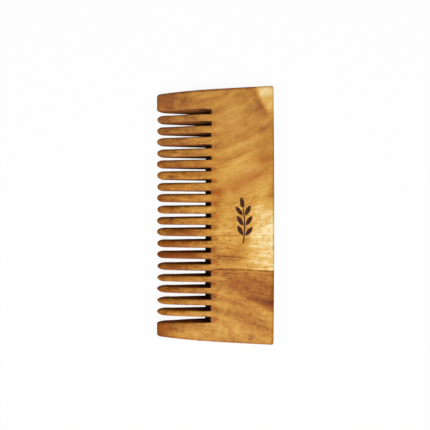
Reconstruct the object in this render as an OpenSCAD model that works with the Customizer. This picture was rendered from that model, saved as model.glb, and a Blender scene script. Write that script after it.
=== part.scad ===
// Wide tooth comb sawn from one board of hardwood, with a burnt leaf sprig on its back.
// The comb lies on its back face. +X runs from the tooth tips to the spine, +Y along the spine,
// +Z out of the front face. The origin is under the middle of the comb, on the resting face.

/* [Board] */
// Length of the comb along its spine
comb_l = 150; // [142:1:170]
// Width of the comb from the tooth tips to the spine
comb_w = 68.8; // [60:0.2:76]
// Thickness of the back
back_t = 9; // [8:0.5:11]
// Width of the solid back, from the slot ends to the spine, on the front face
back_w = 36.8; // [32:0.2:40]
// Rounding of the two long edges of the spine
spine_r = 2; // [1:0.25:3]
// How far each end edge leans in between the spine corner and the tip corner
end_taper = 3.9; // [2:0.1:6]
// Bow of each end edge, outwards from the straight line between its corners
end_bow = 0.3; // [0.2:0.1:1.2]
// Chamfer on the front and back edges of each end, at the corners, where it is narrowest
end_ease = 0.7; // [0.4:0.1:1]

/* [Teeth] */
// Number of teeth between the two wide guard teeth
tooth_n = 18; // [14:1:18]
// Spacing of the saw cuts
pitch = 6.65; // [6:0.01:6.7]
// How far the row of cuts sits off the middle of the board, along the spine
row_shift = -0.3; // [-1.5:0.1:1.5]
// Width of a saw cut at its inner end
kerf = 1.7; // [1.4:0.1:2.3]
// How much wider the gap between two teeth is where their rounded noses start
gap_growth = 0.6; // [0.2:0.1:1.2]
// Length of the rounded nose of a tooth, seen from the front
nose_l = 4; // [3:0.25:5]
// Thickness of the teeth at their tips
tip_t = 3.6; // [3:0.2:4.2]
// How far the tips sit behind the middle of the board, because the front is thinned more
tip_back = 1.2; // [0:0.1:1.2]
// Chamfer that eases the long edges of the teeth
ease = 0.7; // [0.4:0.1:0.9]

/* [Saw] */
// Radius of the saw disc that cuts the slots
blade_r = 50; // [40:1:70]
// Height of the middle of the saw disc above the front face
blade_lift = 14; // [6:1:18]

/* [Burnt mark] */
// Depth of the burnt recess below the front face
burn_d = 0.3; // [0.2:0.05:0.5]
// Thickness of the charred layer on the floor of the recess
char_t = 0.15; // [0.1:0.05:0.2]
// Length of the sprig along the comb
sprig_l = 27; // [20:1:34]
// Length of one leaf
leaf_l = 6.6; // [5:0.2:8]
// Width of one leaf
leaf_w = 2.5; // [1.8:0.1:3]
// Number of pairs of leaves below the end leaf
leaf_pairs = 3; // [2:1:3]

/* [Hidden] */
$fn = 96;
// Facets of a circle whose radius is far larger than the comb is thick
big_fn = 1440;
// Overlap that lets one shape cut cleanly through another
eps = 1;

tip_x = -comb_w / 2;
spine_x = comb_w / 2;
root_x = spine_x - back_w;
tip_z = back_t / 2 - tip_back;
tooth_l = root_x - tip_x;

// The faces of the teeth are arcs that leave the back level and meet the tips tip_t apart
front_r = taper_r(back_t - tip_z - tip_t / 2);
rear_r = taper_r(tip_z - tip_t / 2);

// Half widths of a tooth at its root and where its nose starts
root_half = (pitch - kerf) / 2;
nose_half = root_half - gap_growth / 2;
nose_x = tip_x + nose_l;
nose_steps = 8;

// Corners of the board and of the guard teeth, seen from the front
corner_r = 1.5;
tip_corner_l = 1.8;
tip_corner_w = 1.2;
guard_flare_l = 6;
guard_flare_w = 1.4;
corner_steps = 6;
end_steps = 12;
end_run = comb_w - corner_r - tip_corner_l;

// Middle of the saw disc
blade_z = back_t + blade_lift;
blade_x = root_x - sqrt(blade_r * blade_r - blade_lift * blade_lift);

// The stem of the sprig is an arc that runs the length of the sprig, less the end leaf
mark_x = 17;
mark_y = -2.8;
stem_r = 60;
stem_w = 0.75;
stem_l = sprig_l - leaf_l;
leaf_lean = 33;
leaf_gap = 0.35;

// Radius of a face that is level at the roots and has fallen by drop at the tips
function taper_r(drop) = (tooth_l * tooth_l + drop * drop) / (2 * drop);

// Y of the middle of a saw cut, from 0 to tooth_n
function cut_y(i) = row_shift + (i - tooth_n / 2) * pitch;

// Points of an arc from angle a0 to a1, radii rx and ry
function arc(x, y, rx, ry, a0, a1, n) =
    [for (k = [0 : n]) let (a = a0 + (a1 - a0) * k / n) [x + rx * cos(a), y + ry * sin(a)]];

// Point of an end edge at a share s of its run from the spine corner: it leans in by end_taper
// and bows outwards on the way
function end_point(s) =
    [spine_x - corner_r - end_run * s, comb_l / 2 - end_taper * s + 4 * end_bow * s * (1 - s)];

// Upper half of the board's outline, from the spine round to the tips
function upper_half() = concat(
    arc(spine_x - corner_r, comb_l / 2 - corner_r, corner_r, corner_r, 0, 90, corner_steps),
    [for (k = [1 : end_steps - 1]) end_point(k / end_steps)],
    arc(tip_x + tip_corner_l, comb_l / 2 - end_taper - tip_corner_w,
        tip_corner_l, tip_corner_w, 90, 180, corner_steps)
);

// Outline of the board seen from the front, without its slots: the upper half and its mirror image
module board_plan() {
    upper = upper_half();
    last = len(upper) - 1;
    polygon(concat(upper, [for (k = [last : -1 : 0]) [upper[k].x, -upper[k].y]]));
}

// One tooth seen from the front, standing on the X axis: nearly parallel sides and a rounded nose
module tooth_plan() {
    nose = arc(nose_x, 0, nose_l, nose_half, 90, 270, 2 * nose_steps);
    polygon(concat([[root_x, root_half]], nose, [[root_x, -root_half]]));
}

// The inner side of a guard tooth, which takes half of the last slot and flares at its tip
module guard_plan() {
    flare = arc(tip_x + guard_flare_l, root_half - nose_half + guard_flare_w,
                guard_flare_l, guard_flare_w, 270, 180, nose_steps);
    polygon(concat([[root_x, 0]], flare, [[tip_x, pitch], [root_x, pitch]]));
}

// Everything that the saw leaves standing in the tooth row
module teeth_plan() {
    for (i = [1 : tooth_n]) {
        translate([0, cut_y(i - 0.5)]) tooth_plan();
    }
    translate([0, cut_y(tooth_n) + kerf / 2]) guard_plan();
    translate([0, cut_y(0) - kerf / 2]) mirror([0, 1]) guard_plan();
}

// The tooth row from the first saw cut to the last
module row_plan() {
    translate([tip_x - eps, cut_y(0) - kerf / 2])
        square([comb_w, tooth_n * pitch + kerf]);
}

// The board seen along the spine: a flat back with rounded edges, and teeth that thin to round tips
module side_profile() {
    translate([root_x, 0]) square([back_w - spine_r, back_t]);
    translate([root_x, spine_r]) square([back_w, back_t - 2 * spine_r]);
    for (z = [spine_r, back_t - spine_r]) {
        translate([spine_x - spine_r, z]) circle(spine_r);
    }
    intersection() {
        translate([root_x, back_t - front_r]) circle(front_r, $fn = big_fn);
        translate([root_x, rear_r]) circle(rear_r, $fn = big_fn);
        translate([tip_x + tip_t / 2, 0]) square([tooth_l - tip_t / 2 + eps, back_t]);
    }
    translate([tip_x + tip_t / 2, tip_z]) circle(tip_t / 2);
}

// A bar of any XZ outline that runs the length of the board
module along_spine(length) {
    translate([0, length / 2, 0]) rotate([90, 0, 0]) linear_extrude(length) children();
}

// The slots: the gaps between the teeth, as deep as the saw disc reaches at each height
module saw_cuts() {
    intersection() {
        translate([0, 0, -eps]) linear_extrude(back_t + 2 * eps) difference() {
            row_plan();
            teeth_plan();
        }
        along_spine(comb_l) translate([blade_x, blade_z]) circle(blade_r, $fn = big_fn);
    }
}

// A V-shaped ring under the XY plane that follows a curved face of radius r, and eases both edges
// of one slot
module ease_ring(r) {
    reach = kerf / 2 + ease;
    sweep = asin((tooth_l + eps) / r);
    translate([root_x, 0, -r]) rotate([90, 0, 0]) rotate([0, 0, 90])
        rotate_extrude(angle = sweep, $fn = big_fn)
            polygon([[r - reach, 0], [r + eps, -reach - eps], [r + eps, reach + eps]]);
}

module ease_cuts() {
    for (i = [0 : tooth_n]) {
        translate([0, cut_y(i), back_t]) ease_ring(front_r);
        translate([0, cut_y(i), 0]) mirror([0, 0, 1]) ease_ring(rear_r);
    }
}

// Straight bars that chamfer the front and back edges of both ends, along the line that the bowed
// end edge is drawn on
module end_eases() {
    bar = sqrt(2) * end_ease;
    for (side = [0, 1], z = [0, back_t]) {
        mirror([0, side, 0]) translate([spine_x - corner_r, comb_l / 2, z])
            rotate([0, 0, atan(end_taper / end_run)]) rotate([45, 0, 0])
                cube([3 * comb_w, bar, bar], center = true);
    }
}

// A pointed leaf along +Y, from the origin to its tip
module leaf() {
    side_r = (leaf_l * leaf_l + leaf_w * leaf_w) / (4 * leaf_w);
    intersection() {
        translate([side_r - leaf_w / 2, leaf_l / 2]) circle(side_r);
        translate([leaf_w / 2 - side_r, leaf_l / 2]) circle(side_r);
    }
}

// Puts its children on the stem, at a share of its length, turned along it
module on_stem(share) {
    sweep = stem_l / stem_r * 180 / PI;
    translate([-stem_r, -sprig_l / 2 + stem_l / 2])
        rotate((share - 0.5) * sweep) translate([stem_r, 0]) children();
}

// The sprig: a bowed stem, pairs of leaves and one end leaf
module sprig() {
    intersection() {
        translate([-stem_r, -leaf_l / 2]) difference() {
            circle(stem_r + stem_w / 2, $fn = big_fn);
            circle(stem_r - stem_w / 2, $fn = big_fn);
        }
        translate([-leaf_l, -sprig_l / 2]) square([2 * leaf_l, stem_l - leaf_gap]);
    }
    on_stem(1) leaf();
    for (pair = [1 : leaf_pairs]) {
        on_stem(0.86 * pair / leaf_pairs - 0.06) {
            for (side = [-1, 1]) {
                translate([side * (stem_w / 2 + leaf_gap), 0]) rotate(-side * leaf_lean) leaf();
            }
        }
    }
}

// The sprig at its place on the back, as deep as given, on the floor of the recess
module sprig_plate(depth) {
    translate([mark_x, mark_y, back_t - burn_d]) linear_extrude(depth) sprig();
}

// The comb itself: back, guard teeth and teeth in one piece of wood, as the saw leaves them
module comb_board() {
    color("peru") difference() {
        intersection() {
            along_spine(comb_l) side_profile();
            linear_extrude(back_t) board_plan();
        }
        saw_cuts();
        ease_cuts();
        end_eases();
        sprig_plate(burn_d + eps);
    }
}

// The charred wood on the floor of the burnt recess
module burnt_mark() {
    color("saddlebrown") sprig_plate(char_t);
}

comb_board();
burnt_mark();
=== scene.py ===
"""Wide tooth comb, cut from one board: the visible wood, its burnt sprig, the floor, light and camera.

Lengths are in millimetres, in the frame of the CAD model, until a mesh is made."""

import math

import bmesh
import bpy
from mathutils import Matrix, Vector


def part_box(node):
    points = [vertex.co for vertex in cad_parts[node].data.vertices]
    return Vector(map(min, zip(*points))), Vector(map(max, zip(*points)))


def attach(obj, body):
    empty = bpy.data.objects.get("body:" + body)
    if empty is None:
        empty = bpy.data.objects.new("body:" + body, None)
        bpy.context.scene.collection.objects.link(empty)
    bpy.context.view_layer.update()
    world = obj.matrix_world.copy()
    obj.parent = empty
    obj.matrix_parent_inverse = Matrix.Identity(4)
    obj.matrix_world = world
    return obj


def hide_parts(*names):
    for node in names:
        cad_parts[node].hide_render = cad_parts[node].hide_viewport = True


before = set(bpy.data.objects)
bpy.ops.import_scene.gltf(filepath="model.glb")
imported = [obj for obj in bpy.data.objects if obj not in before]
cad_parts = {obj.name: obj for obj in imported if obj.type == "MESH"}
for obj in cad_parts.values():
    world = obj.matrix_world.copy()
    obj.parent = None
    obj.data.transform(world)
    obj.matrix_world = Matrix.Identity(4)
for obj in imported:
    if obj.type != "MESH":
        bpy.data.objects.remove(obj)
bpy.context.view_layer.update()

MM = 0.001

# ---------------------------------------------------------------- the board, from the CAD box
board_low, board_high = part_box("comb_board")
TIP_X = board_low.x / MM
SPINE_X = board_high.x / MM
HALF_L = board_high.y / MM
THICK = board_high.z / MM
MID = THICK / 2

# ---------------------------------------------------------------- the design, as in the CAD source
BACK_W = 36.8
TOOTH_N = 18
PITCH = 6.65
NOSE_L = 4.0
TIP_T = 3.6
TIP_BACK = 1.2
BLADE_R = 50.0
BLADE_LIFT = 14.0
END_TAPER = 3.9
TIP_CORNER_L = 1.8
TIP_CORNER_W = 1.2
GUARD_FLARE_L = 6.0
GUARD_FLARE_W = 1.4
SPINE_R = 2.0

# ---------------------------------------------------------------- where this comb departs from the CAD
ROW_SHIFT = -0.05       # how far the row of cuts sits off the middle of the board, along the spine
KERF = 1.35             # width of the middle saw cut at its inner end
GAP_GROWTH = 1.0        # how much a cut widens towards its mouth: in full at the highest, not at the lowest
GROWTH_POWER = 1.6      # how late along a tooth the widening sets in
END_BOW = 0.2           # bow of each end edge
CORNER_R = 1.0          # rounding of the spine's corners, seen from the front

ROOT_X = SPINE_X - BACK_W
TOOTH_L = ROOT_X - TIP_X
TIP_Z = MID - TIP_BACK
FRONT_DROP = THICK - TIP_Z - TIP_T / 2
REAR_DROP = TIP_Z - TIP_T / 2
BLADE_Z = THICK + BLADE_LIFT
BLADE_X = ROOT_X - math.sqrt(BLADE_R ** 2 - BLADE_LIFT ** 2)
END_RUN = SPINE_X - TIP_X - CORNER_R - TIP_CORNER_L

# ---------------------------------------------------------------- hand finish, only in this model
ROOT_EASE = 0.4         # rounding of every edge where the saw stopped
LOW_EASE = (0.7, 1.2)   # rounding of a tooth's low edges near its tip, across it and through it
HIGH_EASE = (1.5, 2.8)  # the same for its high edges, which the hand sanding has worn more
EASE_RUN = 22.0         # length over which they grow from the root
END_EASE = 0.8          # rounding of the board's two ends
SPINE_BOW = 0.45        # how far the spine is sanded down at its ends
CROWN = 0.16            # how much a tooth's faces are sanded down beside their middle
BULL_L = 2.6            # length of the rounding of the tips, seen from the side
LOW_NOSE_L = 2.0        # how much longer the nose of the lowest tooth is than that of the middle one
NOSE_SPREAD = 0.7       # spread of the lengths of the noses
NOSE_POWERS = (0.8, 1.05)  # how pointed a nose is in the high half of the row and at its low end
LENGTH_SPREAD = 0.35    # spread of the teeth's lengths
LEAN_SPREAD = 0.16      # spread of the sideways lean of their tips
DEPTH_SPREAD = 0.12     # spread of the depths of the saw cuts
DEPTH_DRIFT = 0.2       # how much deeper the cuts get from the middle of the row to its high end
PLACE_SPREAD = 0.10     # spread of the places of the saw cuts
ROW_SWELL = 0.3         # how far the middle of the row has wandered towards the high end
KERF_OPENED = 0.85      # how much wider the lowest cuts are than the middle one
OPENING_RATE = 1.6      # how soon below the middle of the row they reach that
KERF_TIGHT = 0.25       # how much narrower the highest cuts are than the middle one
TIGHT_RATE = 2.5        # how soon above the middle of the row they reach that
HIGH_FLARE = 0.7        # how far the cuts open towards the front on a tooth's high side
FIRST_FLARE = 1.2       # share of that flare at the lowest cuts
LAST_FLARE = 0.8        # share of it at the highest cuts
LOW_FLARE = 1.2         # the same opening on a tooth's low side, at the highest cut
LOW_FLARE_POWER = 8     # how fast it fades from the highest cut to those below it
LOW_FLARE_START = 5.0   # length past the root over which it grows to its full size
LOW_FLARE_HELD = 8.0    # how far past the root it stays so
LOW_FLARE_FADE = 18.0   # length over which it then dies away
ROOT_SHARE = 0.6        # share of it right at the root
LOW_GUARD_SLOPE = 1.2   # how much the inner side of the low guard tooth leans away at its tip
SAW_LEAN = 0.05         # lean of the highest and the lowest cut, as a slope; the middle one is upright
ROOM_ACROSS = 0.42      # largest share of a tooth's width that the rounding of one edge may take
ROOM_THROUGH = 0.9      # largest share of its half thickness
TIP_BULGE = 0.8         # how full the very end of a tooth is, as a share of the length left to its tip

# ---------------------------------------------------------------- mesh density
FLAT_STEPS = 6
GUARD_STEPS = 14
EASE_STEPS = 4
WALL_STEPS = 6
SLOT_STEPS = 4
TOOTH_STATIONS = 30
NOSE_STATIONS = 10
BACK_COLUMNS = 34
SPINE_STATIONS = 6
LAST_NOSE_ANGLE = math.radians(80)


def lerp(a, b, t):
    """The value a share t of the way from a to b."""
    return a + (b - a) * t


def smooth(t):
    """0 below 0, 1 above 1, and an S-curve between."""
    t = min(max(t, 0.0), 1.0)
    return t * t * (3 - 2 * t)


def quarter(t):
    """Height of a quarter circle of radius 1 at t, from 1 at t = 0 to 0 at t = 1."""
    return math.sqrt(max(0.0, 1 - min(max(t, 0.0), 1.0) ** 2))


def by_hand(index, seed):
    """A small repeatable irregularity for a tooth or a cut, between -1 and 1."""
    return 0.6 * math.sin(2.4 * index + seed) + 0.4 * math.sin(5.3 * index + 2.1 * seed)


def cut_y(index):
    """Middle of a saw cut, placed by eye."""
    drawn = ROW_SHIFT + (index - TOOTH_N / 2) * PITCH
    return drawn + ROW_SWELL * math.sin(math.pi * index / TOOTH_N) + PLACE_SPREAD * by_hand(index, 1.3)


def kerf_at(index):
    """Width of a saw cut at its inner end: the sanding has opened the lower ones more."""
    share = 1 - 2 * index / TOOTH_N
    if share > 0:
        return KERF + KERF_OPENED * smooth(OPENING_RATE * share)
    return KERF - KERF_TIGHT * smooth(-TIGHT_RATE * share)


def high_flare(index):
    """Opening of a cut towards the front, on the high side of the tooth below it."""
    lower = lerp(FIRST_FLARE, 1.0, smooth((index - 2) / 4))
    return HIGH_FLARE * lower * lerp(1.0, LAST_FLARE, smooth((index - TOOTH_N / 2) / 4))


def low_flare(index, x):
    """Opening of a cut towards the front, on the low side of the tooth above it."""
    past_root = max(0.0, ROOT_X - x)
    grown = lerp(ROOT_SHARE, 1.0, smooth(past_root / LOW_FLARE_START))
    near_root = (1 - smooth((past_root - LOW_FLARE_HELD) / LOW_FLARE_FADE)) * grown
    return LOW_FLARE * (index / TOOTH_N) ** LOW_FLARE_POWER * near_root


def saw_lean(index):
    """Slope of a saw cut's walls: the cuts lean more and more away from the middle of the row."""
    return SAW_LEAN * (2 * index / TOOTH_N - 1) ** 2


def end_y(x):
    """The board's end edge, seen from the front, with its rounded corners."""
    share = (SPINE_X - CORNER_R - x) / END_RUN
    y = HALF_L - END_TAPER * share + 4 * END_BOW * share * (1 - share)
    if share < 0:
        return HALF_L - CORNER_R * (1 - quarter(-share * END_RUN / CORNER_R))
    if share > 1:
        y = HALF_L - END_TAPER
    return y - TIP_CORNER_W * (1 - quarter((TIP_X + TIP_CORNER_L - x) / TIP_CORNER_L))


def blade_reach(z):
    """How far towards the spine the saw disc cuts at a height."""
    return BLADE_X + math.sqrt(BLADE_R ** 2 - (BLADE_Z - z) ** 2)


def fallen(drop, x):
    """How far a face has fallen at x, along the arc that leaves the back level."""
    radius = (TOOTH_L ** 2 + drop ** 2) / (2 * drop)
    return radius - math.sqrt(radius ** 2 - max(0.0, ROOT_X - x) ** 2)


def middle_z(x):
    """Height of the middle of the board, which sinks towards the tips."""
    return MID + (fallen(REAR_DROP, x) - fallen(FRONT_DROP, x)) / 2


def half_thickness(x):
    """Half the board's thickness, which thins towards the tips and is rounded at their end."""
    half = MID - (fallen(REAR_DROP, x) + fallen(FRONT_DROP, x)) / 2
    return half * quarter((TIP_X + BULL_L - x) / BULL_L)


def tooth_share(x):
    """0 at the root of a tooth and 1 at its tip."""
    return min(max((ROOT_X - x) / TOOTH_L, 0.0), 1.0)


class Tooth:
    """One tooth, or a guard tooth at either end of the row, seen from the front."""

    def __init__(self, index):
        self.index = index
        self.low_guard = index == 0
        self.high_guard = index == TOOTH_N + 1
        self.guard = self.low_guard or self.high_guard
        self.steps = GUARD_STEPS if self.guard else FLAT_STEPS
        self.low_cut, self.high_cut = cut_y(index - 1), cut_y(index)
        self.lean = 0.0 if self.guard else LEAN_SPREAD * by_hand(index, 0.7)
        self.tip = TIP_X
        if not self.guard:
            self.tip += LENGTH_SPREAD * (0.5 + 0.5 * by_hand(index, 3.1))
        lowness = max(0.0, 1 - 2 * index / TOOTH_N)
        self.nose_l = NOSE_L
        if not self.guard:
            self.nose_l += NOSE_SPREAD * by_hand(index, 1.9) + LOW_NOSE_L * lowness
        self.nose_power = lerp(*NOSE_POWERS, lowness)
        self.nose_x = self.tip + self.nose_l

    def edges(self, x):
        """The low and the high edge of the tooth, or of the whole board beside a guard."""
        late_share = tooth_share(x) ** GROWTH_POWER
        growth = GAP_GROWTH / 2 * late_share / TOOTH_N
        low = self.low_cut + kerf_at(self.index - 1) / 2 + growth * (self.index - 1)
        high = self.high_cut - kerf_at(self.index) / 2 - growth * self.index
        flare = GUARD_FLARE_W * (1 - quarter((TIP_X + GUARD_FLARE_L - x) / GUARD_FLARE_L))
        if self.high_guard:
            return low + flare, end_y(x)
        if self.low_guard:
            return -end_y(x), high - flare - LOW_GUARD_SLOPE * late_share
        half = (high - low) / 2 * quarter((self.nose_x - x) / self.nose_l) ** self.nose_power
        y = (low + high) / 2 + self.lean * tooth_share(x)
        return y - half, y + half

    def eases(self, x):
        """Roundings of the low and the high edge, each across the tooth and through it."""
        grown = min(1.0, (ROOT_X - x) / EASE_RUN) if x < ROOT_X else 0.0
        low, high = [tuple(lerp(ROOT_EASE, full, grown) for full in ease) for ease in (LOW_EASE, HIGH_EASE)]
        end = (END_EASE, END_EASE)
        low, high = (end if self.low_guard else low), (end if self.high_guard else high)
        y0, y1 = self.edges(x)
        room_y, room_z = ROOM_ACROSS * (y1 - y0), ROOM_THROUGH * half_thickness(x)
        return [(min(a, room_y), min(b, room_z)) for a, b in (low, high)]


class Section:
    """Where the points of a ring round a tooth sit, as (part, side, share) for each point.

    A ring runs along the front from the low to the high edge, down the high side, back along the
    rear and up the low side. The sides' levels count from the front."""

    def __init__(self, steps):
        self.steps = steps
        self.side_levels = 2 * EASE_STEPS + WALL_STEPS
        self.points = [("front", 0, i / steps) for i in range(steps + 1)]
        self.points += [("side", 1, k) for k in range(1, self.side_levels)]
        self.points += [("rear", 0, 1 - i / steps) for i in range(steps + 1)]
        self.points += [("side", -1, k) for k in range(self.side_levels - 1, 0, -1)]
        self.count = len(self.points)

    def high_level(self, level):
        """Index in the ring of a level on the high side."""
        return self.steps + level

    def low_level(self, level):
        """Index in the ring of a level on the low side."""
        return (self.count - level) % self.count


def side_profile(level, ease_y, ease_z, half):
    """Inset from the edge and height above mid-thickness of a side level."""
    below = level - EASE_STEPS
    if 0 <= below <= WALL_STEPS:
        return 0.0, (half - ease_z) * (1 - 2 * below / WALL_STEPS)
    turn = level / EASE_STEPS if below < 0 else (2 * EASE_STEPS + WALL_STEPS - level) / EASE_STEPS
    angle = turn * math.pi / 2
    inset = ease_y * (1 - math.sin(angle))
    height = half - ease_z * (1 - math.cos(angle))
    return inset, height if below < 0 else -height


def place(tooth, point, x):
    """The y, the z and the saw-cut share of a ring point of a tooth at x."""
    part, side, share = point
    y0, y1 = tooth.edges(x)
    low, high = tooth.eases(x)
    half, middle = half_thickness(x), middle_z(x)
    crown = CROWN * smooth((ROOT_X - x) / EASE_RUN) * min(1.0, half / MID)
    slim = min(1.0, half / MID)
    low_in = 0.0 if tooth.low_guard else low_flare(tooth.index - 1, x) * slim
    high_in = 0.0 if tooth.high_guard else high_flare(tooth.index) * slim
    if part != "side":
        sunk = crown * (2 * share - 1) ** 2 * (0.0 if tooth.guard else 1.0)
        height = half - min(sunk, 0.5 * half)
        forward = 1.0 if part == "front" else 0.0
        y = lerp(y0 + low[0] + low_in * forward, y1 - high[0] - high_in * forward, share)
        return y, middle + (height if part == "front" else -height), 0.0
    ease_y, ease_z = high if side > 0 else low
    crown = 0.0 if tooth.guard else min(crown, 0.5 * half)
    inset, height = side_profile(share, ease_y, ease_z, half)
    height *= 1 - crown / max(half, 0.01)
    outer = (side > 0 and tooth.high_guard) or (side < 0 and tooth.low_guard)
    sawn = 0.0 if outer else 1 - inset / max(ease_y, 0.01)
    forward = (height / max(half, 0.01) + 1) / 2
    y = y1 - inset - high_in * forward ** 2 if side > 0 else y0 + inset + low_in * forward
    if not outer:
        cut = tooth.index if side > 0 else tooth.index - 1
        y -= saw_lean(cut) * (half - height) * min(1.0, sawn * 4)
    return y, middle + height, sawn


class Surface:
    """A mesh in the making: points in millimetres, faces, sharp edges and the saw-cut share."""

    def __init__(self):
        self.points, self.faces, self.sharp, self.sawn = [], [], [], []

    def point(self, x, y, z, sawn=0.0):
        self.points.append((x, y, z))
        self.sawn.append(sawn)
        return len(self.points) - 1

    def tube(self, ring, following):
        """Quads between two closed rings of the same length."""
        for k in range(len(ring)):
            n = (k + 1) % len(ring)
            self.faces.append((ring[k], ring[n], following[n], following[k]))

    def grid(self, rows):
        """Quads between rows of points of the same length."""
        for row, following in zip(rows, rows[1:]):
            for k in range(len(row) - 1):
                self.faces.append((row[k], row[k + 1], following[k + 1], following[k]))

    def cap(self, ring, section, bulge):
        """Closes a ring with a grid between its front and rear halves, swollen along X."""
        top = [ring[section.low_level(k)] for k in range(EASE_STEPS, 0, -1)]
        top += [ring[k] for k in range(section.steps + EASE_STEPS + 1)]
        bottom = [ring[section.low_level(k)] for k in range(EASE_STEPS + WALL_STEPS, section.side_levels)]
        bottom += [ring[k] for k in range(section.count - section.side_levels,
                                          section.high_level(EASE_STEPS + WALL_STEPS) - 1, -1)]
        rows = [top]
        for k in range(1, WALL_STEPS):
            depth = k / WALL_STEPS
            row = [ring[section.low_level(EASE_STEPS + k)]]
            for i in range(1, len(top) - 1):
                a, b = self.points[top[i]], self.points[bottom[i]]
                swell = bulge * 4 * depth * (1 - depth) * quarter(2 * i / (len(top) - 1) - 1)
                spot = [lerp(p, q, depth) for p, q in zip(a, b)]
                row.append(self.point(spot[0] + swell, spot[1], spot[2]))
            row.append(ring[section.high_level(EASE_STEPS + k)])
            rows.append(row)
        rows.append(bottom)
        self.grid(rows)

    def to_mesh(self, name):
        mesh = bpy.data.meshes.new(name)
        mesh.from_pydata([[c * MM for c in p] for p in self.points], [], self.faces)
        sawn = mesh.attributes.new("sawn", "FLOAT", "POINT")
        sawn.data.foreach_set("value", self.sawn)
        bm = bmesh.new()
        bm.from_mesh(mesh)
        bmesh.ops.recalc_face_normals(bm, faces=bm.faces)
        for face in bm.faces:
            face.smooth = True
        bm.verts.ensure_lookup_table()
        for a, b in self.sharp:
            edge = bm.edges.get((bm.verts[a], bm.verts[b]))
            edge.smooth = False
        bm.to_mesh(mesh)
        bm.free()
        return mesh


def cut_shift(index):
    """How much farther towards the spine than drawn one saw cut goes."""
    return DEPTH_SPREAD * by_hand(index, 4.4) + DEPTH_DRIFT * (2 * index / TOOTH_N - 1)


def spine_x(y):
    """The spine, seen from the front: full in its middle and sanded down towards its ends."""
    return SPINE_X - SPINE_BOW * (y / HALF_L) ** 2


def root_start(tooth, point):
    """Where a tooth's line of points meets the back."""
    part, side, share = point
    shifts = [0.0 if tooth.low_guard else cut_shift(tooth.index - 1),
              0.0 if tooth.high_guard else cut_shift(tooth.index)]
    if part != "side":
        z = THICK if part == "front" else 0.0
        return blade_reach(z) + ROOT_EASE + lerp(shifts[0], shifts[1], share)
    outer = (side > 0 and tooth.high_guard) or (side < 0 and tooth.low_guard)
    inset, height = side_profile(share, ROOT_EASE, ROOT_EASE, MID)
    if outer:
        return blade_reach(MID + height) + ROOT_EASE
    return blade_reach(MID + height) + inset + shifts[1 if side > 0 else 0]


def add_tooth(surface, tooth, section):
    """Adds a tooth's rings from the root to the tip, and its end. Returns its first ring."""
    starts = [root_start(tooth, p) for p in section.points]
    nose = TIP_X + GUARD_FLARE_L if tooth.guard else tooth.nose_x
    lines = []
    for k in range(TOOTH_STATIONS + 1):
        share = k / TOOTH_STATIONS
        lines.append([lerp(start, nose, share) for start in starts])
    for k in range(1, NOSE_STATIONS + 1):
        angle = LAST_NOSE_ANGLE * k / NOSE_STATIONS
        lines.append([nose - (nose - tooth.tip) * math.sin(angle)] * section.count)
    rings = []
    for xs in lines:
        ring = []
        for x, point in zip(xs, section.points):
            y, z, sawn = place(tooth, point, x)
            ring.append(surface.point(x, y, z, sawn))
        rings.append(ring)
    for ring, following in zip(rings, rings[1:]):
        surface.tube(ring, following)
    surface.cap(rings[-1], section, (tooth.tip - lines[-1][0]) * TIP_BULGE)
    return rings[0]


def add_slot_end(surface, low_ring, low_section, high_ring, high_section, index):
    """The end of a saw cut, between the sides of two teeth. Returns its front and rear lines."""
    rows = []
    for level in range(low_section.side_levels + 1):
        first = low_ring[low_section.high_level(level)]
        last = high_ring[high_section.low_level(level)]
        a, b = surface.points[first], surface.points[last]
        inset, height = side_profile(level, ROOT_EASE, ROOT_EASE, MID)
        x = blade_reach(MID + height) + inset + cut_shift(index)
        sawn = 1 - inset / ROOT_EASE
        row = [first]
        for k in range(1, SLOT_STEPS):
            row.append(surface.point(x, lerp(a[1], b[1], k / SLOT_STEPS), a[2], sawn))
        row.append(last)
        rows.append(row)
    surface.grid(rows)
    for a, b in zip(rows, rows[1:]):
        surface.sharp += [(a[0], b[0]), (a[-1], b[-1])]
    return rows[0], rows[-1]


def outer_line(x, level, side):
    """The y and z of a level of the end edge, on the back of the comb."""
    half = back_half(x)
    ease = min(END_EASE, 0.4 * half)
    inset, height = side_profile(level, ease, ease, half)
    return side * (end_y(x) - inset), MID + height


def back_half(x):
    """Half thickness of the back, rounded at the spine."""
    return MID - SPINE_R * (1 - quarter((x - SPINE_X + SPINE_R) / SPINE_R))


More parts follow.
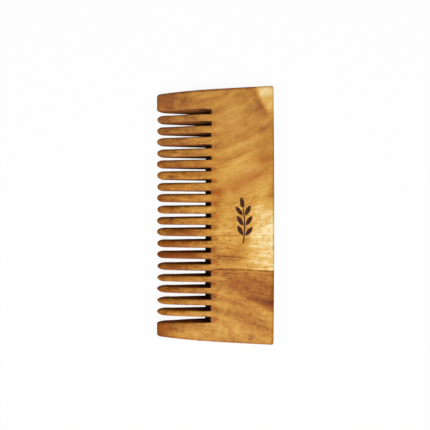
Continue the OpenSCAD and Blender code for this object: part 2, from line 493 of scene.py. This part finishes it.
def add_back(surface, teeth, sections, rings, slot_lines):
    """The back of the comb: one tube that starts at the roots and closes at the spine."""
    front, rear = [], []
    for tooth, section, ring in zip(teeth, sections, rings):
        front += ring[:section.steps + 1]
        rear += [ring[section.low_level(section.side_levels) - k] for k in range(section.steps + 1)]
        if tooth.index <= TOOTH_N:
            front += slot_lines[tooth.index][0][1:-1]
            rear += slot_lines[tooth.index][1][1:-1]
    shape = Section(len(front) - 1)
    high = [rings[-1][sections[-1].high_level(k)] for k in range(1, shape.side_levels)]
    low = [rings[0][sections[0].low_level(k)] for k in range(shape.side_levels - 1, 0, -1)]
    ring = front + high + rear[::-1] + low
    start = [surface.points[i] for i in ring]
    inner_low, inner_high = start[GUARD_STEPS][1], start[len(front) - 1 - GUARD_STEPS][1]
    flat_end = SPINE_X - SPINE_R
    columns = [k / BACK_COLUMNS for k in range(1, BACK_COLUMNS + 1)]
    columns += [1 + k / SPINE_STATIONS for k in range(1, SPINE_STATIONS + 1)]
    for share in columns:
        following = []
        for (x0, y0, _), (part, side, level) in zip(start, shape.points):
            x = lerp(x0, flat_end, share)
            if share > 1:
                x = flat_end + SPINE_R * math.sin((share - 1) * math.pi / 2)
            sanded = (SPINE_X - spine_x(y0)) * smooth(share)
            if part == "side":
                y, z = outer_line(x, level, side)
            else:
                half = back_half(x)
                edge = end_y(x) - min(END_EASE, 0.4 * half)
                z = MID + (half if part == "front" else -half)
                y = y0
                if y0 > inner_high:
                    y = lerp(inner_high, edge, (y0 - inner_high) / (end_y(x0) - END_EASE - inner_high))
                if y0 < inner_low:
                    y = lerp(inner_low, -edge, (y0 - inner_low) / (END_EASE - end_y(x0) - inner_low))
            following.append(surface.point(x - sanded, y, z))
        surface.tube(ring, following)
        ring = following
    surface.cap(ring, shape, 0.0)


def comb_mesh():
    """The whole comb as one closed surface."""
    surface = Surface()
    teeth = [Tooth(i) for i in range(TOOTH_N + 2)]
    sections = [Section(tooth.steps) for tooth in teeth]
    rings = [add_tooth(surface, t, s) for t, s in zip(teeth, sections)]
    slot_lines = []
    for i in range(TOOTH_N + 1):
        slot_lines.append(add_slot_end(surface, rings[i], sections[i], rings[i + 1], sections[i + 1], i))
    add_back(surface, teeth, sections, rings, slot_lines)
    return surface.to_mesh("comb_board_wood")


# ---------------------------------------------------------------- shader nodes, written as formulas
def srgb(red, green, blue):
    """A colour given as 0 to 255 on a screen, as Blender's linear colour."""
    def linear(value):
        value /= 255
        return value / 12.92 if value <= 0.04045 else ((value + 0.055) / 1.055) ** 2.4
    return linear(red), linear(green), linear(blue), 1.0


class Graph:
    """A material whose nodes are added by short calls that take sockets or plain values."""

    def __init__(self, name):
        self.material = bpy.data.materials.new(name)
        self.material.use_nodes = True
        self.tree = self.material.node_tree
        self.tree.nodes.clear()

    def node(self, kind, inputs, **settings):
        made = self.tree.nodes.new(kind)
        for key, value in settings.items():
            setattr(made, key, value)
        for key, value in inputs.items():
            if isinstance(value, bpy.types.NodeSocket):
                self.tree.links.new(value, made.inputs[key])
            else:
                made.inputs[key].default_value = value
        return made

    def math(self, operation, *values, clamp=False):
        inputs = dict(enumerate(values))
        return self.node("ShaderNodeMath", inputs, operation=operation, use_clamp=clamp).outputs[0]

    def add(self, *values):
        total = values[0]
        for value in values[1:]:
            total = self.math("ADD", total, value)
        return total

    def times(self, *values):
        total = values[0]
        for value in values[1:]:
            total = self.math("MULTIPLY", total, value)
        return total

    def vector(self, x, y, z):
        return self.node("ShaderNodeCombineXYZ", {0: x, 1: y, 2: z}).outputs[0]

    def noise(self, vector, scale=1.0, detail=2.0, rough=0.5):
        inputs = {"Vector": vector, "Scale": scale, "Detail": detail, "Roughness": rough}
        return self.node("ShaderNodeTexNoise", inputs).outputs[0]

    def span(self, value, low, high, to_low=0.0, to_high=1.0):
        """Maps low..high to to_low..to_high along an S-curve, and holds outside."""
        inputs = {"Value": value, "From Min": low, "From Max": high, "To Min": to_low, "To Max": to_high}
        return self.node("ShaderNodeMapRange", inputs, interpolation_type="SMOOTHSTEP").outputs[0]

    def mix(self, share, a, b, blend="MIX"):
        made = self.node("ShaderNodeMix", {}, data_type="RGBA", blend_type=blend)
        for key, value in ((0, share), (6, a), (7, b)):
            if isinstance(value, bpy.types.NodeSocket):
                self.tree.links.new(value, made.inputs[key])
            else:
                made.inputs[key].default_value = value
        return made.outputs[2]

    def ramp(self, value, stops):
        made = self.node("ShaderNodeValToRGB", {"Fac": value})
        elements = made.color_ramp.elements
        while len(elements) < len(stops):
            elements.new(0.5)
        for element, (place, colour) in zip(elements, stops):
            element.position = place
            element.color = colour
        return made.outputs[0]

    def finish(self, **inputs):
        shader = self.node("ShaderNodeBsdfPrincipled", {k.replace("_", " "): v for k, v in inputs.items()})
        self.node("ShaderNodeOutputMaterial", {"Surface": shader.outputs[0]})
        return self.material


# ---------------------------------------------------------------- the wood
DEEP_BROWN = srgb(82, 34, 6)
BROWN = srgb(148, 84, 24)
GOLDEN = srgb(200, 138, 54)
LIGHT_GOLD = srgb(226, 176, 86)
PALE = srgb(252, 230, 172)
RED_BROWN = srgb(176, 92, 26)
# a grey that paints the light's sheen into the wood's colour towards the high end
PAINTED_SHEEN_GREY = srgb(196, 168, 134)
# browns of the saw cuts' walls: partly saw scorch and partly painted shade in the narrow cuts; the darker
# one is painted shadow at the cuts' inner ends
SHADED_WALL_BROWN = srgb(132, 76, 36)
SHADED_CUT_END = srgb(52, 26, 12)
TONES = [(0.0, DEEP_BROWN), (0.28, BROWN), (0.52, GOLDEN), (0.76, LIGHT_GOLD), (1.0, PALE)]

FAN = 0.0085           # how fast the grain spreads towards the spine, per millimetre
FAN_START = 2.0        # where along X it starts to spread
FAN_SOFT = 9.0         # how gradually it starts
GRAIN_Y = -20.0        # the line that the grain spreads from
BASE_TONE = 0.52       # tone of the wood before any figure is laid on it
WARP = 5.0             # span of the uneven shift that makes the patches irregular
CUT_SHADE_RUN = 11.0      # how far from the roots the walls of the saw cuts carry painted shade and scorch
GLOSS = 0.12           # strength of the mirror-like part of the wood's shine
RELIEF = 0.05          # depth of the grain's and the char's roughness

# The dark growth line across the lower back: its height at X = 0 and how it sinks with X squared
LINE_Y = -31.2
LINE_SAG = 0.0009
LINE_HALF = 0.5

# The lower edge of the red-brown zone under that line
RED_LOW_Y = -41.0
RED_LOW_SLOPE = -0.45

# The edge of the pale sapwood at the spine's high corner: a point on it and its outward direction
SAP_X, SAP_Y = 23.6, 73.5
SAP_NX, SAP_NY = 0.906, 0.423
SAP_WARP = 0.45        # how much of the patches' warp that edge follows

# Patches of the figure: what it is, centre x and y, half length, half width, turn in degrees,
# tone (darker below 0) and redness
PATCHES = [
    ("light streak at the high end", 7.6, 60, 8, 1.0, 24, 0.10, 0.0),
    ("light streak below it", 9, 54, 9.5, 1.1, 25, 0.10, 0.0),
    ("brown band", 16, 45.5, 17, 3.2, 17, -0.08, 0.1),
    ("light band", 13, 39.8, 12, 2.2, 23, 0.13, 0.0),
    ("brown line under it", 12, 34.0, 9, 0.8, 21, -0.12, 0.1),
    ("second light band", 13.5, 30.8, 11, 1.5, 29, 0.12, 0.0),
    ("golden shoulder", 9, 54, 12, 5, 20, 0.03, 0.0),
    ("brown patch", 27.8, 50, 4.5, 2.6, 15, -0.13, 0.2),
    ("orange patch", 30, 32.5, 5, 3.2, 24, -0.14, 0.9),
    ("orange field", 17, 20.5, 14, 6.0, 30, 0.03, 1.1),
    ("gold under it", 28.5, 12, 5, 4.5, 30, 0.09, -0.3),
    ("orange line to the spine", 27, 25, 8, 1.2, 34, -0.05, 0.5),
    ("orange by the cuts", 3, 12.5, 3.4, 2.8, 0, -0.12, 0.5),
    ("brown at the high corner", 11, 69, 10, 4, 20, -0.05, 0.1),
    ("gold in the middle", 6, -6, 9, 13, 0, 0.09, 0.0),
    ("pale by the sprig", 12, 4, 9, 7, 10, 0.05, 0.0),
    ("dark line beside the sprig", 6.7, -11.7, 8, 0.5, 2, -0.28, 0.1),
    ("second dark line", 6, -19, 7, 0.4, -1, -0.14, 0.0),
    ("third dark line", 7, -23.6, 8, 0.4, -3, -0.18, 0.0),
    ("dark tongue", 33.5, -51.2, 6, 1.4, -20, -0.46, 0.0),
    ("gold below the tongue", 31, -55.4, 6, 1.8, -24, 0.15, 0.0),
    ("dark around the tongue", 23, -47.5, 10, 2.6, -24, -0.05, 0.2),
    ("red by the cuts", 11.5, -38.5, 6, 2.8, -8, -0.10, 0.7),
    ("brown under the red zone", 15, -53, 10, 4.5, -22, -0.06, 0.1),
    ("lower brown band", 22.5, -62.8, 11, 3.0, -26, -0.10, 0.3),
    ("gold by the low guard", 2.5, -65, 3, 5, -10, 0.08, -0.1),
    ("gold under the brown band", 12.5, -66, 3.6, 2.6, -20, 0.10, 0.0),
    ("brown at the low end", 26, -69, 8, 3, -10, -0.04, 0.0),
    ("yellow in the low guard", -12, -68.5, 8, 3, 0, 0.07, -0.3),
    ("small smudge", 20.4, -71.4, 1.4, 0.6, 10, -0.22, 0.0),
    ("gold above the brown band", 26, -56.6, 7, 2.0, -26, 0.05, 0.0),
    ("brown high guard", -24, 67, 12, 8, 0, -0.10, 0.1),
    ("red tip of the high guard", -30.5, 66, 3.5, 5, 0, -0.08, 0.5),
    ("brown tip of the low guard", -31.5, -66, 5.5, 6, 0, -0.14, 0.4),
    ("dark tooth", -14, -9.6, 10, 2.3, 0, -0.19, 0.4),
    ("more red teeth", -22, -22, 12, 7, 0, -0.08, 0.6),
    ("brown low teeth", -19, -46.5, 15, 5.5, 0, -0.13, 0.0),
    ("brown high teeth", -18, 48.5, 17, 8, 0, -0.14, 0.0),
    ("brown roots below them", -8, 25, 9, 10, 0, -0.05, 0.0),
    ("gold in the middle teeth", -12, 1, 9, 8, 0, 0.06, 0.0),
    ("dark red tooth", -19.5, -22.8, 9, 2.4, 0, -0.40, 0.3),
    ("light across the upper middle", 15, 26, 17, 9, 10, 0.14, 0.0),
    ("light roots of the middle teeth", -9, -6, 7, 13, 0, 0.05, 0.0),
    ("pale left of the sprig", 8, -1, 7, 11, 0, 0.07, -0.3),
    ("brown lines over the growth line", 4, -25.5, 6, 4, 0, -0.10, 0.0),
    ("red end of the growth line", 3, -33, 4, 3, 0, -0.05, 0.3),
    ("pale by the spine", 32, -5, 5, 6, 0, 0.10, -0.2),
    ("brown tips below the middle", -26, -27, 8, 6, 0, -0.07, 0.0),
    ("red over the growth line", 28, -30, 10, 1.5, -2, -0.14, 0.4),
    ("gold under the growth line", 26, -35.2, 10, 2.2, -3, 0.12, -0.2),
    ("brown across the red zone", 14, -41, 16, 2.3, -5, -0.13, 0.0),
    ("brown above the tongue", 27, -49.4, 9.5, 2.0, -13, -0.20, 0.0),
    ("light over it", 20, -45.6, 9, 1.6, -10, 0.07, 0.0),
    ("brown below the tongue", 25, -58, 8, 2.6, -20, -0.08, 0.0),
    ("light beside the tongue", 5, -56, 8, 1.8, -22, 0.08, 0.0),
    ("light spot in the red zone", 23, -44.3, 3, 2, 0, 0.06, 0.0),
    ("light tip", -28, -54, 6, 2.5, 0, 0.08, 0.0),
    ("gold at the low corner", 29, -64.5, 5, 2.5, 0, 0.06, 0.0),
    ("more orange by the cuts", 1.5, 9, 3, 8, 0, -0.06, 0.6),
    ("light over the sprig", 23, 17, 9, 8, 0, 0.10, 0.1),
    ("light across the high end", 12, 46, 16, 8, 10, 0.04, 0.0),
    ("pale beside the stem", 9, -15.5, 4, 6, 0, 0.08, -0.25),
    ("brown in the red zone", 20, -38, 4, 4, 0, -0.07, 0.0),
    ("brown tooth near the high end", -20, 42.3, 13, 2.4, 0, -0.09, 0.0),
    ("light on a middle tooth", -17, 9.8, 4, 2, 0, 0.08, 0.0),
    ("light low tooth", -14, -36.2, 7, 2.4, 0, 0.07, 0.0),
    ("light lowest tooth", -14, -56, 10, 2.4, 0, 0.17, 0.0),
    ("brown topmost tooth", -27, 55.2, 8, 2.4, 0, -0.08, 0.0),
    ("brown beside the tongue", 17, -51.5, 5, 2.5, -15, -0.06, 0.0),
    ("yellow by the low end", 6, -69, 3, 3, 0, 0.05, -0.3),
]


class Figure:
    """The figure of the wood in the making: coordinates in millimetres, and the tone (0 dark, 1 pale)
    and redness that masks are laid on."""

    def __init__(self, graph):
        self.g = g = graph
        position = g.node("ShaderNodeTexCoord", {}).outputs["Object"]
        split = g.node("ShaderNodeSeparateXYZ", {0: position}).outputs
        self.x, self.y, self.z = [g.times(axis, 1 / MM) for axis in split]
        self.v = self.across_grain()
        self.tone, self.redness = BASE_TONE, 0.0

    def across_grain(self):
        """A coordinate that is constant along a fibre: fibres spread from the teeth to the spine."""
        g = self.g
        past = g.add(self.x, -FAN_START)
        reach = g.math("SQRT", g.add(g.times(past, past), FAN_SOFT ** 2))
        spread = g.math("EXPONENT", g.times(g.add(past, reach), -FAN / 2))
        sway = g.noise(g.vector(g.times(self.x, 0.03), g.times(self.y, 0.05), g.times(self.z, 0.06)))
        through = g.times(g.add(self.z, -THICK), 0.4)
        return g.add(g.times(g.add(self.y, -GRAIN_Y), spread), through, g.times(g.add(sway, -0.5), 4.0))

    def grain(self, along, across, through, detail=3.0, rough=0.55):
        """Noise drawn out along the fibres; the values are its frequencies per millimetre."""
        g = self.g
        place = g.vector(g.times(self.x, along), g.times(self.v, across), g.times(self.z, through))
        return g.noise(place, detail=detail, rough=rough)

    def cloud(self, scale, seed=0.0):
        """Noise without a direction."""
        g = self.g
        place = g.vector(g.times(self.x, scale), g.times(self.y, scale), g.add(g.times(self.z, scale), seed))
        return g.noise(place, detail=3.0)

    def lay(self, mask, tone, red=0.0):
        g = self.g
        self.tone = g.add(self.tone, g.times(mask, tone))
        self.redness = g.add(self.redness, g.times(mask, red))

    def hill(self, value, half):
        """1 where the value is 0, falling off to nothing at about twice the half width."""
        g = self.g
        scaled = g.times(value, 1 / half)
        return g.math("EXPONENT", g.times(scaled, scaled, -1.0))

    def patch(self, cx, cy, long, wide, turn, warp):
        g = self.g
        c, s = math.cos(math.radians(turn)), math.sin(math.radians(turn))
        dx, dy = g.add(self.x, -cx, warp), g.add(self.y, -cy, g.times(warp, 0.35))
        along = g.times(g.add(g.times(dx, c), g.times(dy, s)), 1 / long)
        side = g.times(g.add(g.times(dy, c), g.times(dx, -s)), 1 / wide)
        return g.math("EXPONENT", g.times(g.add(g.times(along, along), g.times(side, side)), -1.0))


def lay_grain(f):
    """The grain everywhere: broad bands, streaks, fibres, clouds and short dark flecks.

    Each grain is given by its frequencies along, across and through the fibres, and each is laid with
    its strength in tone and redness."""
    g = f.g
    streaks = f.grain(0.05, 0.75, 0.5, detail=4.0, rough=0.6)
    fibres = f.grain(0.22, 5.0, 3.0, rough=0.6)
    cloud = f.cloud(0.13)
    calm = g.math("MAXIMUM", g.span(f.y, 38, 8, 0.5, 1.0), g.span(f.x, -1, -9))
    f.lay(g.add(f.grain(0.015, 0.16, 0.10), -0.5), 0.34)
    f.lay(g.add(f.grain(0.09, 0.32, 0.2), -0.5), 0.34, 0.2)
    f.lay(g.times(g.add(streaks, -0.5), calm), 0.34)
    f.lay(g.add(fibres, -0.5), 0.20)
    f.lay(g.add(cloud, -0.5), 0.30, 0.6)
    f.lay(g.times(g.add(f.cloud(0.42, 7.0), -0.5), calm), 0.36, 0.3)
    f.lay(g.times(g.add(f.grain(0.20, 1.4, 0.9), -0.5), calm), 0.26)
    flecks = g.span(f.grain(0.30, 1.9, 1.2, detail=1.0), 0.60, 0.72)
    f.lay(g.times(flecks, g.span(f.y, 16, 4, 0.1, 1.0), g.span(f.y, -42, -32, 0.2, 1.0)), -0.24, 0.1)
    pores = g.span(f.grain(0.5, 7.0, 7.0, detail=1.0), 0.62, 0.72)
    f.lay(pores, -0.12)
    return streaks, fibres, pores


def lay_back(f, streaks):
    """The larger features of the back, each where it grew, and a painted highlight of glare over its pale
    middle.
    """
    g = f.g
    warp = g.times(g.add(f.cloud(0.11, 3.0), -0.5), WARP)
    for _, cx, cy, long, wide, turn, tone, red in PATCHES:
        f.lay(f.patch(cx, cy, long, wide, turn, warp), tone, red)

    above = g.add(f.y, -LINE_Y, g.times(f.x, f.x, LINE_SAG), g.times(warp, 0.12))
    on_back = g.span(f.x, -4, 2)
    f.lay(g.times(f.hill(above, LINE_HALF), on_back), -0.24)
    f.lay(g.times(f.hill(g.add(above, -1.2), 0.5), on_back), 0.08)
    f.lay(g.times(f.hill(g.add(above, 1.1), 0.5), on_back), 0.07)

    # partly pale wood and partly a painted highlight: the glare of the light on the back's middle, above the
    # growth line, painted into the colour
    pale_and_glare = g.times(g.span(f.x, 12, 27), g.span(f.y, 12, -3), g.span(above, -0.2, 0.7))
    f.lay(g.times(pale_and_glare, g.add(0.6, g.times(streaks, 0.8))), 0.38, -0.6)

    low_edge = g.add(f.y, -RED_LOW_Y, g.times(f.x, -RED_LOW_SLOPE), warp)
    under_line = g.times(g.span(above, 0.3, -4.0, 0.45, 1.0), g.span(above, 0.3, -0.5))
    red_zone = g.times(under_line, g.span(low_edge, -2.5, 2.5), g.span(f.x, -2, 22))
    f.lay(red_zone, -0.155, 0.4)
    rays = g.noise(g.vector(g.times(f.x, 1.5), g.times(f.y, 0.3), f.z), detail=1.0)
    f.lay(g.times(g.span(rays, 0.52, 0.68), red_zone), -0.10)

    outward_x = g.times(g.add(f.x, -SAP_X), SAP_NX)
    outward_y = g.times(g.add(f.y, -SAP_Y), SAP_NY)
    past_sap = g.add(outward_x, outward_y, g.times(warp, SAP_WARP))
    high_end = g.span(f.y, 55, 64)
    f.lay(g.times(g.span(past_sap, -1.3, 1.7), high_end), 0.30, -0.6)
    f.lay(g.times(f.hill(g.add(past_sap, 2.2), 2.0), high_end), -0.14, 0.3)
    f.lay(f.patch(25, 61.5, 3.4, 2.4, 60, warp), -0.10, 0.6)


def lay_marks_and_edge_shade(f):
    """Smudges past the cuts, darker teeth and tips, and painted shade along the board's end edges and its
    spine.
    """
    g = f.g
    off_cut = g.math("WRAP", g.add(f.y, -ROW_SHIFT), PITCH / 2, -PITCH / 2)
    past_root = g.times(g.span(f.x, 2.6, -0.6), g.span(g.math("ABSOLUTE", f.y), 64, 61))
    smudge = g.times(f.hill(off_cut, 1.5), past_root, g.span(f.y, 40, -30, 0.45, 1.0))
    f.lay(smudge, -0.20, 0.8)

    tooth = g.math("FLOOR", g.times(g.add(f.y, -ROW_SHIFT), 1 / PITCH))
    pick = g.node("ShaderNodeTexWhiteNoise", {"W": tooth}, noise_dimensions="1D").outputs["Color"]
    tint, hue, _ = g.node("ShaderNodeSeparateXYZ", {0: pick}).outputs
    on_teeth = g.span(f.x, ROOT_X + 1, ROOT_X - 9)
    f.lay(g.times(g.add(tint, -0.5), on_teeth), 0.12)
    f.lay(g.times(g.add(hue, -0.3), on_teeth), 0.0, 0.35)
    f.lay(on_teeth, -0.07)
    f.lay(g.span(f.x, TIP_X + 17, TIP_X + 1), -0.10)
    f.lay(g.span(f.x, TIP_X + 2.2, TIP_X + 0.3), -0.10)

    # painted shade: the rounded end edges, more at the high end, and the spine's edge, darkened where they
    # turn away from the light
    lean = g.times(g.add(f.x, CORNER_R - SPINE_X), END_TAPER / END_RUN)
    to_end = g.add(HALF_L, lean, g.times(g.math("ABSOLUTE", f.y), -1.0))
    f.lay(g.times(g.span(to_end, 1.8, 0.2), g.span(f.y, -10, 10, 0.4, 1.0)), -0.26, 0.3)
    f.lay(g.span(f.x, SPINE_X - 1.4, SPINE_X - 0.4), -0.14, 0.1)


def wood():
    """Golden figured hardwood that fans out from the teeth, with scorch and painted shade on the walls of
    the saw cuts and painted shadow at their inner ends.
    """
    g = Graph("board_wood")
    f = Figure(g)
    streaks, fibres, pores = lay_grain(f)
    lay_back(f, streaks)
    lay_marks_and_edge_shade(f)
    colour = g.ramp(f.tone, TONES)
    colour = g.mix(g.math("MULTIPLY", f.redness, 0.5, clamp=True), colour, RED_BROWN)
    # painted sheen: the colour turns greyer towards the high end, where the light's shine is painted in
    colour = g.mix(g.span(f.y, 10, 60, 0.0, 0.08), colour, PAINTED_SHEEN_GREY)

    sawn = g.node("ShaderNodeAttribute", {}, attribute_name="sawn").outputs["Fac"]
    # painted shade on the walls of the narrow saw cuts, with some saw scorch; towards the roots it deepens
    # into painted shadow at the cuts' inner ends
    near_root = g.span(f.x, ROOT_X - CUT_SHADE_RUN, ROOT_X - 1)
    scorch_and_shade = g.span(g.add(sawn, g.times(near_root, 0.25)), 0.3, 0.9)
    colour = g.mix(g.times(scorch_and_shade, 0.8), colour, SHADED_WALL_BROWN)
    colour = g.mix(g.times(scorch_and_shade, near_root, 0.85), colour, SHADED_CUT_END)
    saw_marks = g.noise(g.vector(g.times(f.x, 3.0), g.times(f.y, 0.3), g.times(f.z, 0.6)))
    height = g.add(g.times(fibres, 0.5), g.times(pores, -0.6), g.times(saw_marks, scorch_and_shade))
    bump = g.node("ShaderNodeBump", {"Height": height, "Distance": RELIEF * MM, "Strength": 0.6}).outputs[0]
    rough = g.add(0.38, g.times(fibres, 0.14), g.times(pores, 0.15), g.times(scorch_and_shade, 0.3))
    return g.finish(Base_Color=colour, Roughness=rough, Normal=bump, Specular_IOR_Level=GLOSS)


def char():
    """The burnt floor of the sprig."""
    g = Graph("burnt_wood")
    position = g.node("ShaderNodeTexCoord", {}).outputs["Object"]
    grain = g.noise(position, scale=1 / (0.4 * MM), detail=4.0, rough=0.7)
    colour = g.mix(grain, srgb(44, 16, 10), srgb(86, 40, 24))
    bump = g.node("ShaderNodeBump", {"Height": grain, "Distance": RELIEF * MM, "Strength": 0.8}).outputs[0]
    return g.finish(Base_Color=colour, Roughness=0.75, Normal=bump, Specular_IOR_Level=0.2)


# ---------------------------------------------------------------- the pieces
def link(name, data):
    """A new object in the scene."""
    made = bpy.data.objects.new(name, data)
    bpy.context.scene.collection.objects.link(made)
    return made


def recess_cutter(mark):
    """The burnt sprig's own outline, from the floor of its recess to above the board."""
    mesh = mark.data.copy()
    floor = min(v.co.z for v in mesh.vertices)
    roof = max(v.co.z for v in mesh.vertices)
    for v in mesh.vertices:
        v.co.z = floor if v.co.z < (floor + roof) / 2 else board_high.z + 1 * MM
    cutter = link("recess_cutter", mesh)
    bm = bmesh.new()
    bm.from_mesh(mesh)
    bmesh.ops.remove_doubles(bm, verts=bm.verts, dist=0.001 * MM)
    bm.to_mesh(mesh)
    bm.free()
    return cutter


def build_comb():
    """The visible comb, with the sprig's recess cut into it. It stands in for the CAD board."""
    comb = link("comb_board_wood", comb_mesh())
    cutter = recess_cutter(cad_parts["burnt_mark"])
    cut = comb.modifiers.new("recess", "BOOLEAN")
    cut.object = cutter
    cut.operation = "DIFFERENCE"
    cut.solver = "EXACT"
    graph = bpy.context.evaluated_depsgraph_get()
    cleaned = bpy.data.meshes.new_from_object(comb.evaluated_get(graph))
    comb.modifiers.clear()
    comb.data = cleaned
    bpy.data.objects.remove(cutter)
    comb.data.materials.clear()
    comb.data.materials.append(wood())
    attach(comb, "root")
    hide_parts("comb_board")
    return comb


def dress_mark():
    """The CAD's own sprig, in the look of char."""
    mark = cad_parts["burnt_mark"]
    for material_slot in mark.material_slots:
        material_slot.material = char()


# ---------------------------------------------------------------- floor, light and camera, in metres
EYE_X, EYE_Y = -0.0001, 0.0002
EYE_Z = 0.249           # height of the camera above the comb's resting face
LENS = 34.80            # its focal length, in millimetres
FLOOR_HALF = 3.0        # half the side of the floor
FLOOR_Z = -0.05 * MM    # a little below the comb, so that the two never share a plane
FLOOR_GLOW = 0.94       # share of its own even light in what the camera sees of the floor
ROOM = 0.10             # strength of the light from all around
WALLS = 0.97            # brightness of the surroundings as the camera sees them
KEY_W = 113.0           # power of the large soft light, which stands beyond the comb's low end
KEY_PLACE = (-0.08, -1.70, 2.70)
KEY_AIM = (0, 0, 0)
KEY_SIDE = 1.9
SHEEN_W = 0.35          # power of the small light that gives the pale wood its sheen
SHEEN_PLACE = (0.107, -0.052, 0.72)
SHEEN_AIM = (0.02, -0.01, 0)
SHEEN_SIDE = 0.16


def build_floor():
    """A pale table under the comb. The camera sees it lit evenly, as on a light box."""
    signs = ((-1, -1), (1, -1), (1, 1), (-1, 1))
    corners = [(FLOOR_HALF * a, FLOOR_HALF * b, FLOOR_Z) for a, b in signs]
    mesh = bpy.data.meshes.new("floor")
    mesh.from_pydata(corners, [], [(0, 1, 2, 3)])
    floor = link("floor", mesh)
    g = Graph("pale_floor")
    paper = g.node("ShaderNodeBsdfDiffuse", {"Color": (0.8, 0.8, 0.8, 1)}).outputs[0]
    glow = g.node("ShaderNodeEmission", {"Color": (1, 1, 1, 1), "Strength": 1.0}).outputs[0]
    seen = g.node("ShaderNodeLightPath", {}).outputs["Is Camera Ray"]
    both = g.node("ShaderNodeMixShader", {0: g.times(seen, FLOOR_GLOW), 1: paper, 2: glow}).outputs[0]
    g.node("ShaderNodeOutputMaterial", {"Surface": both})
    mesh.materials.append(g.material)


def area_light(name, place, aim, side, power):
    """A square white light, turned to face its aim."""
    data = bpy.data.lights.new(name, "AREA")
    data.shape = "RECTANGLE"
    data.size = side
    data.size_y = side
    data.energy = power
    lamp = link(name, data)
    lamp.location = place
    lamp.rotation_euler = (Vector(aim) - Vector(place)).to_track_quat("-Z", "Y").to_euler()


def light_scene():
    """Even light from all around, which the camera sees as pale walls, and the two lights."""
    world = bpy.data.worlds.new("soft_room")
    bpy.context.scene.world = world
    world.use_nodes = True
    tree = world.node_tree
    seen = tree.nodes.new("ShaderNodeLightPath").outputs["Is Camera Ray"]
    strength = tree.nodes.new("ShaderNodeMapRange")
    strength.inputs["To Min"].default_value = ROOM
    strength.inputs["To Max"].default_value = WALLS
    tree.links.new(seen, strength.inputs["Value"])
    tree.links.new(strength.outputs[0], tree.nodes["Background"].inputs["Strength"])
    tree.nodes["Background"].inputs["Color"].default_value = (1, 1, 1, 1)
    area_light("key", KEY_PLACE, KEY_AIM, KEY_SIDE, KEY_W)
    area_light("sheen", SHEEN_PLACE, SHEEN_AIM, SHEEN_SIDE, SHEEN_W)


def place_camera():
    """A camera straight above the comb, looking down at its front face."""
    data = bpy.data.cameras.new("camera")
    camera = link("camera", data)
    eye = Vector((EYE_X, EYE_Y, EYE_Z))
    aim = Vector((EYE_X, EYE_Y, board_high.z))
    camera.location = eye
    camera.rotation_euler = (aim - eye).to_track_quat("-Z", "Y").to_euler()
    data.lens = LENS
    data.clip_start = 0.01
    bpy.context.scene.camera = camera


bpy.context.scene.view_settings.view_transform = "Standard"
build_comb()
dress_mark()
build_floor()
light_scene()
place_camera()
